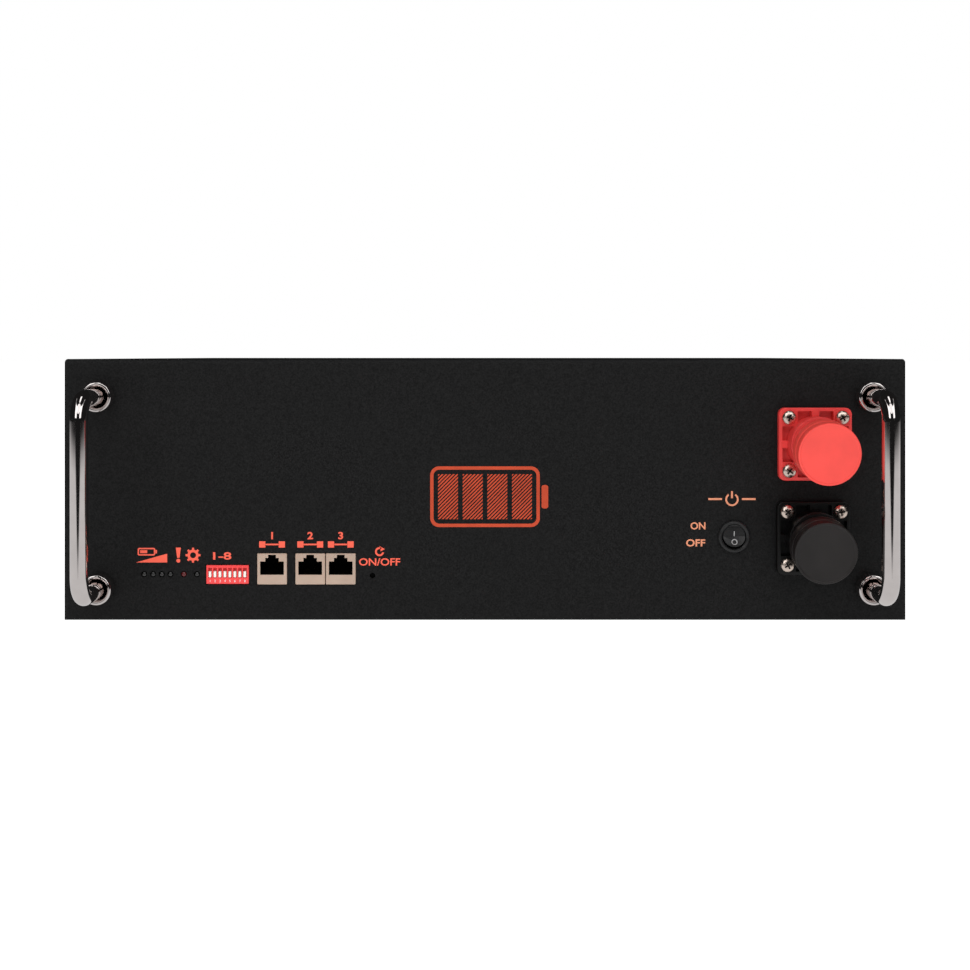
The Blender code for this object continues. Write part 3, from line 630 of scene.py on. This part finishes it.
def plate_mesh(x, z, half, corner, front, back):
    """A square plate facing -Y with four rounded corners."""
    shape = bmesh.new()
    points = []
    for quarter in range(4):
        for i in range(9):
            t = math.radians(90 * quarter + 90 * i / 8)
            sx = 1 if quarter in (0, 3) else -1
            sz = 1 if quarter in (0, 1) else -1
            px = x + sx * (half - corner) + corner * math.cos(t)
            pz = z + sz * (half - corner) + corner * math.sin(t)
            points.append((px, back, pz))
    face = shape.faces.new([shape.verts.new(point) for point in points])
    moved = bmesh.ops.extrude_face_region(shape, geom=[face])
    fresh = [item for item in moved["geom"] if isinstance(item, bmesh.types.BMVert)]
    bmesh.ops.translate(shape, verts=fresh, vec=(0, front - back, 0))
    return mesh_of(shape)


def screw_offsets():
    return [(dx, dz) for dz in (-SCREW_OFFSET, SCREW_OFFSET) for dx in (-SCREW_OFFSET, SCREW_OFFSET)]


def make_cap(word, x, z, material):
    """Moulded cup: flat end inside a fine raised rim, a shallow groove and a step round its side."""
    node = f"dust_cap_{word}"
    low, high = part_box(node)
    half = CAP_LENGTH / 2
    reach = FRONT - (low[1] + high[1]) / 2
    groove = CAP_RADIUS - 0.35 * MM
    face = half - 0.3 * MM
    corners = [(0, face), (CAP_RADIUS - 1.3 * MM, face), (CAP_RADIUS - 0.9 * MM, half)]
    corners += [(CAP_RADIUS, half), (CAP_RADIUS, half - 6 * MM), (groove, half - 6.3 * MM)]
    corners += [(groove, half - 7.1 * MM), (CAP_RADIUS, half - 7.4 * MM), (CAP_RADIUS, 1.6 * MM - half)]
    corners += [(groove, 1.4 * MM - half), (groove, -half), (CAP_INNER, -half), (CAP_INNER, half - 2 * MM)]
    corners += [(0, half - 2 * MM)]
    mesh = turned_mesh(rounded(corners, 0.6 * MM), 0, 0, 0, 128)
    place = Matrix.Translation((x, FRONT - reach, z - CAP_DROP[word]))
    mesh.transform(place @ Matrix.Rotation(CAP_TILT[word], 4, "X"))
    piece(f"{node}_moulded", mesh, material, f"cap_{word}", [node])


def screw_mesh():
    """Pan-head screw with a cross recess, its seat at the origin and its head along -Y."""
    head, shank = 3.6 * MM, 1.5 * MM
    corners = [(0, 2.3 * MM), (head * 0.5, 2.2 * MM), (head * 0.86, 1.6 * MM), (head, 0.7 * MM)]
    corners += [(head, 0)]
    corners += [(shank, 0), (shank, -11.5 * MM), (0, -11.5 * MM)]
    mesh = turned_mesh(rounded(corners, 0.5 * MM, 3), 0, 0, 0, 48)
    arms = []
    for turn in (0, 90):
        arm = box_mesh((-1.9 * MM, -3 * MM, -0.42 * MM), (1.9 * MM, -0.9 * MM, 0.42 * MM))
        arm.transform(Matrix.Rotation(math.radians(turn), 4, "Y"))
        arms.append(arm)
    mesh = bevelled(boolean(mesh, arms), 0.06 * MM, 1, 50)
    mesh.materials.append(NICKEL)
    mesh.materials.append(RECESS_SHADE)
    # Faces down inside the cross recess take the near-black material: painted shade.
    for face in mesh.polygons:
        deep = -1.9 * MM < face.center.y < -0.85 * MM
        if deep and face.center.xz.length < 1.95 * MM:
            face.material_index = 1
    return mesh


def make_socket_screws():
    master = screw_mesh()
    for number, word in enumerate(("positive", "negative")):
        for i in range(1, 5):
            node = f"socket_screw_{word}_{i}"
            centre = middle(node)
            mesh = master.copy()
            turn = Matrix.Rotation(math.radians(37 * i + 23 * number), 4, "Y")
            seat = FRONT - FLANGE_THICKNESS - GAP
            mesh.transform(Matrix.Translation((centre.x, seat, centre.z)) @ turn)
            piece(f"{node}_cross_head", mesh, None, CASE, [node])


# ---------------------------------------------------------------- rocker switch

def make_switch():
    centre = middle("switch_housing")
    x, z = centre.x, centre.z
    outer, opening, body = 8.2 * MM, 6.15 * MM, 7.3 * MM
    corners = [(opening, -12 * MM), (body, -12 * MM), (body, GAP), (outer, GAP), (outer, 0.9 * MM)]
    corners += [(outer - 0.5 * MM, 1.7 * MM), (opening + 0.8 * MM, 1.8 * MM), (opening, 1.2 * MM)]
    mesh = turned_mesh(rounded(corners, 0.4 * MM), x, z)
    piece("switch_bezel", mesh, SWITCH_BLACK, CASE, ["switch_housing"])
    make_rocker(x, z)


ROCKER_TILT = 10
ROCKER_PIVOT = 1.2 * MM
ROCKER_FACE = 2 * MM


def make_rocker(x, z):
    """Round rocker with a hollowed face: the upper half pressed in, the lower half standing out."""
    radius = 5.6 * MM
    corners = [(0, 4 * MM), (radius, 4 * MM), (radius, 1.4 * MM), (4.2 * MM, -6 * MM), (0, -6 * MM)]
    mesh = turned_mesh(rounded(corners, 0.2 * MM, 2), 0, 0, 0, 96)
    faces = []
    for side in (-1, 1):
        spans = sorted((side * -4 * MM, side * 12 * MM))
        face = box_mesh((-9 * MM, -14 * MM, spans[0]), (9 * MM, -ROCKER_FACE, spans[1]))
        face.transform(Matrix.Rotation(math.radians(side * ROCKER_TILT), 4, "X"))
        faces.append(face)
    wedge = boolean(faces[0], [faces[1]], "INTERSECT")
    mesh = bevelled(boolean(mesh, [wedge]), 0.25 * MM, 3, 40)
    pivot = Matrix.Translation((x, FRONT + ROCKER_PIVOT, z))
    mesh.transform(pivot @ Matrix.Rotation(math.radians(-ROCKER_TILT), 4, "X"))
    node = "switch_rocker"
    piece(f"{node}_moulded", smooth(mesh), SWITCH_BLACK, "rocker", [node])
    face_y = -ROCKER_FACE
    stroke = box_mesh((-0.2 * MM, face_y - 2 * INK, 0.3 * MM), (0.2 * MM, face_y + INK, 2.8 * MM))
    stroke.transform(pivot)
    piece("switch_mark_on", stroke, GREY_INK, "rocker")
    inner, outer = 1.1 * MM, 1.5 * MM
    corners = [(inner, -INK), (outer, -INK), (outer, 2 * INK), (inner, 2 * INK)]
    ring = turned_mesh(corners, 0, -3.45 * MM, face_y, 48)
    ring.transform(pivot @ Matrix.Rotation(math.radians(-2 * ROCKER_TILT), 4, "X"))
    piece("switch_mark_off", ring, GREY_INK, "rocker")


# ---------------------------------------------------------------- lights and address switch

SLOT_CLEARANCE = 0.25 * MM
SLOT_HEIGHT = 5 * MM


def make_lights():
    for node in [f"charge_led_{i}" for i in range(1, 5)] + ["alarm_led", "run_led"]:
        centre = middle(node)
        lens, skirt = 1.3 * MM, 1.8 * MM
        corners = [(0, 0.5 * MM), (lens * 0.55, 0.35 * MM), (lens * 0.92, -0.1 * MM)]
        corners += [(lens, -0.6 * MM), (lens, -2.6 * MM)]
        corners += [(skirt, -2.6 * MM), (skirt, -7 * MM), (0, -7 * MM)]
        mesh = turned_mesh(rounded(corners, 0.3 * MM), centre.x, centre.z, None, 40)
        material = RED_LENS if node == "alarm_led" else CLEAR
        piece(f"{node}_lens", mesh, material, CASE, [node])


def make_address_switch():
    """Red housing with eight slots, white levers in them, and numerals beneath."""
    node = "address_switch_housing"
    low, high = (Vector(corner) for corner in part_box(node))
    slots = []
    for i in range(1, 9):
        foot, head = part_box(f"address_lever_{i}")
        bottom = foot[2] - SLOT_CLEARANCE
        start = (foot[0] - SLOT_CLEARANCE, low.y - 1 * MM, bottom)
        end = (head[0] + SLOT_CLEARANCE, low.y + 1.9 * MM, bottom + SLOT_HEIGHT)
        slots.append(box_mesh(start, end))
    mesh = boolean(box_mesh(low, high, 0.35 * MM), [merged(slots)])
    mesh = bevelled(mesh, 0.08 * MM, 1, 50)
    piece("address_switch_moulded", mesh, RED_SWITCH, CASE, [node])
    for i in range(1, 9):
        node = f"address_lever_{i}"
        mesh = box_mesh(*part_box(node), 0.18 * MM)
        piece(f"{node}_moulded", mesh, IVORY, f"lever_{i}", [node])
        place = (middle(node).x, low.y, low.z + 1.0 * MM)
        write(f"address_numeral_{i}", str(i), 1.25 * MM, place, WHITE_INK)


# ---------------------------------------------------------------- data sockets

PORT_STEPS = ((12.1 * MM, 6.8 * MM), (6.9 * MM, 8.6 * MM), (4.0 * MM, 10.2 * MM))
PORT_FLOOR = 5 * MM
PORT_REACH = 11.4 * MM
CONTACT_PITCH = 1.02 * MM
CONTACT_ROUTE = ((2.4 * MM, 0.35 * MM), (3.2 * MM, 0.5 * MM), (9.5 * MM, 3.2 * MM), (11.2 * MM, 3.6 * MM))


def make_ports():
    for number in (1, 2, 3):
        make_port(f"data_port_{number}")


def make_port(node):
    """Cream housing with a stepped opening, painted shade inside it, and eight sprung gold contacts."""
    low, high = (Vector(corner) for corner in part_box(node))
    x = (low.x + high.x) / 2
    floor = low.z + PORT_FLOOR
    mesh = box_mesh(low, high, 0.45 * MM)
    tools = []
    for width, tall in PORT_STEPS:
        start = (x - width / 2, low.y - 1 * MM, floor)
        tools.append(box_mesh(start, (x + width / 2, low.y + PORT_REACH, floor + tall)))
    mesh = bevelled(boolean(mesh, tools), 0.22 * MM, 2, 50)
    mesh.materials.append(CREAM)
    mesh.materials.append(HOLLOW_SHADE)
    # Faces inside the opening take the near-black material: painted shade in the socket's hollow.
    for face in mesh.polygons:
        px, py, pz = face.center
        inside = abs(px - x) < 6.2 * MM and floor - 0.1 * MM < pz < floor + 10.3 * MM
        if inside and low.y + 0.6 * MM < py < low.y + 11.6 * MM:
            face.material_index = 1
    piece(f"{node}_moulded", mesh, None, CASE, [node])
    for i in range(8):
        route = [(place + low.y, rise + floor) for place, rise in CONTACT_ROUTE]
        contact = x + (i - 3.5) * CONTACT_PITCH
        wire = wire_mesh([(contact, y, z) for y, z in route], 0.17 * MM, 2)
        piece(f"{node}_contact_{i + 1}", wire, GOLD, CASE)


# ---------------------------------------------------------------- printed marks

CAPITAL_HEIGHT = 0.72
LINK_Z = 38.6 * MM
RESET_X = -53.9 * MM


def write(name, text, tall, place, ink, weight=0.0, stretch=1.0):
    """Raised print: text as a thin mesh on a face towards -Y, its baseline at place."""
    curve = bpy.data.curves.new(name, "FONT")
    curve.body = text
    curve.size = tall / CAPITAL_HEIGHT
    curve.align_x = "CENTER"
    curve.offset = weight
    curve.extrude = INK / 2
    curve.resolution_u = 4
    upright = UPRIGHT @ Matrix.Diagonal((stretch, 1, 1, 1))
    matrix = Matrix.Translation(Vector(place) + Vector((0, -INK / 2, 0))) @ upright
    return piece(name, from_curve(curve, matrix), ink, CASE)


def decal(name, loops, ink):
    """A flat printed shape on the panel: an outline and then its holes, each a loop of (x, z)."""
    curve = bpy.data.curves.new(name, "CURVE")
    curve.dimensions = "2D"
    curve.fill_mode = "BOTH"
    curve.extrude = INK / 2
    for loop in loops:
        line = curve.splines.new("POLY")
        line.points.add(len(loop) - 1)
        for point, (x, z) in zip(line.points, loop):
            point.co = (x, z, 0, 1)
        line.use_cyclic_u = True
    matrix = Matrix.Translation((0, FRONT - INK / 2, 0)) @ UPRIGHT
    return piece(name, from_curve(curve, matrix), ink, CASE)


def circle(x, z, radius, steps=48):
    turns = [math.tau * i / steps for i in range(steps)]
    return [(x + radius * math.cos(t), z + radius * math.sin(t)) for t in turns]


def open_ring(x, z, outer, inner, start):
    """A flat ring that runs 290 degrees round from its start."""
    turns = [math.radians(start + 290 * i / 40) for i in range(41)]
    ring = [(x + outer * math.cos(t), z + outer * math.sin(t)) for t in turns]
    return ring + [(x + inner * math.cos(t), z + inner * math.sin(t)) for t in reversed(turns)]


def rectangle(x, z, width, tall):
    half_x, half_z = width / 2, tall / 2
    low, high = z - half_z, z + half_z
    return [(x - half_x, low), (x + half_x, low), (x + half_x, high), (x - half_x, high)]


def rounded_rectangle(x, z, width, tall, corner, steps=8):
    points = []
    for quarter, (sx, sz) in enumerate(((1, 1), (-1, 1), (-1, -1), (1, -1))):
        for i in range(steps + 1):
            t = math.radians(90 * quarter + 90 * i / steps)
            px = x + sx * (width / 2 - corner) + corner * math.cos(t)
            pz = z + sz * (tall / 2 - corner) + corner * math.sin(t)
            points.append((px, pz))
    return points


def gear(x, z, outer, root, teeth=8):
    points = []
    for tooth in range(teeth):
        start = math.tau * tooth / teeth
        for share, radius in ((-0.25, root), (-0.17, outer), (0.17, outer), (0.25, root)):
            turn = start + share * math.tau / teeth
            points.append((x + radius * math.cos(turn), z + radius * math.sin(turn)))
    return points


def hatch(x, z, width, tall, pitch, share):
    """Slanting bars that fill a rectangle, each cut off at its edges."""
    bars = []
    half_x, half_z = width / 2, tall / 2
    offset = -half_x - half_z
    while offset < half_x + half_z:
        bar = clip_bar(offset, offset + pitch * share, half_x, half_z)
        if len(bar) > 2:
            bars.append([(x + px, z + pz) for px, pz in bar])
        offset += pitch
    return bars


def clip_bar(start, end, half_x, half_z):
    """The part of the band start < x - z < end that lies inside a centred rectangle."""
    polygon = [(-half_x, -half_z), (half_x, -half_z), (half_x, half_z), (-half_x, half_z)]
    for sign, limit in ((1, start), (-1, -end)):
        kept = []
        for a, b in zip(polygon, polygon[1:] + polygon[:1]):
            da, db = sign * (a[0] - a[1]) - limit, sign * (b[0] - b[1]) - limit
            if da >= 0:
                kept.append(a)
            if (da >= 0) != (db >= 0):
                t = da / (da - db)
                kept.append((a[0] + t * (b[0] - a[0]), a[1] + t * (b[1] - a[1])))
        polygon = kept
        if not polygon:
            break
    return polygon


def make_emblem():
    """A plain battery sign: an outline with a terminal, and four hatched charge bars."""
    x, z = 0.0, 63.0 * MM
    width, tall, line = 56 * MM, 31 * MM, 1.7 * MM
    outline = rounded_rectangle(x, z, width, tall, 4.5 * MM)
    inside = rounded_rectangle(x, z, width - 2 * line, tall - 2 * line, 3 * MM)
    decal("battery_sign_outline", [outline, inside], ORANGE_INK)
    nub = rounded_rectangle(x + width / 2 + 2.6 * MM, z, 3.4 * MM, 12 * MM, 1.2 * MM)
    decal("battery_sign_terminal", [nub], ORANGE_INK)
    bar_width, bar_gap = 10.2 * MM, 2.4 * MM
    for i in range(4):
        bar_x = x + (i - 1.5) * (bar_width + bar_gap)
        for j, bar in enumerate(hatch(bar_x, z, bar_width, tall - 8 * MM, 1.9 * MM, 0.55)):
            decal(f"battery_sign_bar_{i + 1}_{j + 1}", [bar], ORANGE_INK)


def make_left_marks():
    """Charge-level wedge under a small battery sign, an exclamation mark, a gear and a number range."""
    base = 29.4 * MM
    wedge = [(-178.4 * MM, base), (-162.4 * MM, base), (-162.4 * MM, base + 4.5 * MM)]
    decal("charge_wedge", [wedge], SALMON_INK)
    sign_x, sign_z = -173.0 * MM, 34.9 * MM
    outline = rounded_rectangle(sign_x, sign_z, 9.0 * MM, 3.9 * MM, 0.9 * MM)
    inside = rounded_rectangle(sign_x, sign_z, 7.6 * MM, 2.5 * MM, 0.4 * MM)
    decal("charge_sign_outline", [outline, inside], SALMON_INK)
    decal("charge_sign_level", [rectangle(sign_x - 1.4 * MM, sign_z, 3.6 * MM, 1.5 * MM)], SALMON_INK)
    decal("charge_sign_end", [rectangle(sign_x + 5.0 * MM, sign_z, 0.8 * MM, 1.8 * MM)], SALMON_INK)
    x = -156.7 * MM
    stroke = [(x - 1.3 * MM, base + 7.6 * MM), (x - 0.6 * MM, base + 2.4 * MM)]
    stroke += [(x + 0.6 * MM, base + 2.4 * MM), (x + 1.3 * MM, base + 7.6 * MM)]
    decal("alarm_sign_stroke", [stroke], SALMON_INK)
    decal("alarm_sign_dot", [circle(x, base + 0.9 * MM, 1.0 * MM, 24)], SALMON_INK)
    teeth = gear(-149.2 * MM, 33.1 * MM, 3.85 * MM, 2.9 * MM)
    decal("run_gear", [teeth, circle(-149.2 * MM, 33.1 * MM, 1.5 * MM)], SALMON_INK)
    write("address_sign", "1-8", 3.7 * MM, (-135.0 * MM, FRONT, 31.0 * MM), SALMON_INK, 0.12 * MM, 1.6)


def make_port_marks():
    """A number and a small link sign over each data socket, and a return sign over the reset hole."""
    for i in (1, 2, 3):
        centre = middle(f"data_port_{i}")
        place = (centre.x, FRONT, 41.4 * MM)
        write(f"port_number_{i}", str(i), 3.6 * MM, place, SALMON_INK, 0.14 * MM, 1.2)
        for side in (-1, 1):
            block = rectangle(centre.x + side * 5 * MM, LINK_Z, 3.2 * MM, 3.2 * MM)
            decal(f"port_link_{i}_{side + 2}", [block], SALMON_INK)
        decal(f"port_link_{i}_bar", [rectangle(centre.x, LINK_Z, 6.6 * MM, 0.8 * MM)], SALMON_INK)
    make_return_sign(RESET_X, 34.9 * MM)
    write("reset_word", "ON/OFF", 3.75 * MM, (RESET_X, FRONT, 27.9 * MM), SALMON_INK, 0.09 * MM, 1.12)


def make_return_sign(x, z):
    """An open ring with an arrow head at its end."""
    outer, inner = 2.3 * MM, 1.4 * MM
    decal("reset_ring", [open_ring(x, z, outer, inner, 60)], SALMON_INK)
    tip = math.radians(60)
    mid = (outer + inner) / 2
    px, pz = x + mid * math.cos(tip), z + mid * math.sin(tip)
    arrow = [(px - 0.9 * MM, pz + 1.3 * MM), (px - 0.3 * MM, pz - 1.4 * MM), (px + 1.8 * MM, pz - 0.3 * MM)]
    decal("reset_arrow", [arrow], SALMON_INK)


def make_switch_marks():
    """ON and OFF beside the rocker and a power sign above it."""
    write("switch_word_on", "ON", 3.6 * MM, (108.9 * MM, FRONT, 46.4 * MM), LIGHT_INK, 0.12 * MM)
    write("switch_word_off", "OFF", 3.6 * MM, (107.6 * MM, FRONT, 37.7 * MM), LIGHT_INK, 0.12 * MM, 1.13)
    px, pz = 126.2 * MM, 61.6 * MM
    decal("power_sign_ring", [open_ring(px, pz, 3.4 * MM, 2.5 * MM, 125)], LIGHT_INK)
    for side in (-1, 1):
        bar = rectangle(px + side * 8.6 * MM, pz + 0.2 * MM, 7 * MM, 1.0 * MM)
        decal(f"power_sign_rule_{side + 2}", [bar], LIGHT_INK)
    decal("power_sign_bar", [rectangle(px, pz + 2.4 * MM, 0.95 * MM, 3.6 * MM)], LIGHT_INK)


make_stage()
make_camera()
paint_nodes()
make_handle("left")
make_handle("right")
make_socket("positive", RED_FLANGE, RED)
make_socket("negative", SOOT_FLANGE, SOOT)
make_socket_screws()
make_switch()
make_lights()
make_address_switch()
make_ports()
make_emblem()
make_left_marks()
make_port_marks()
make_switch_marks()
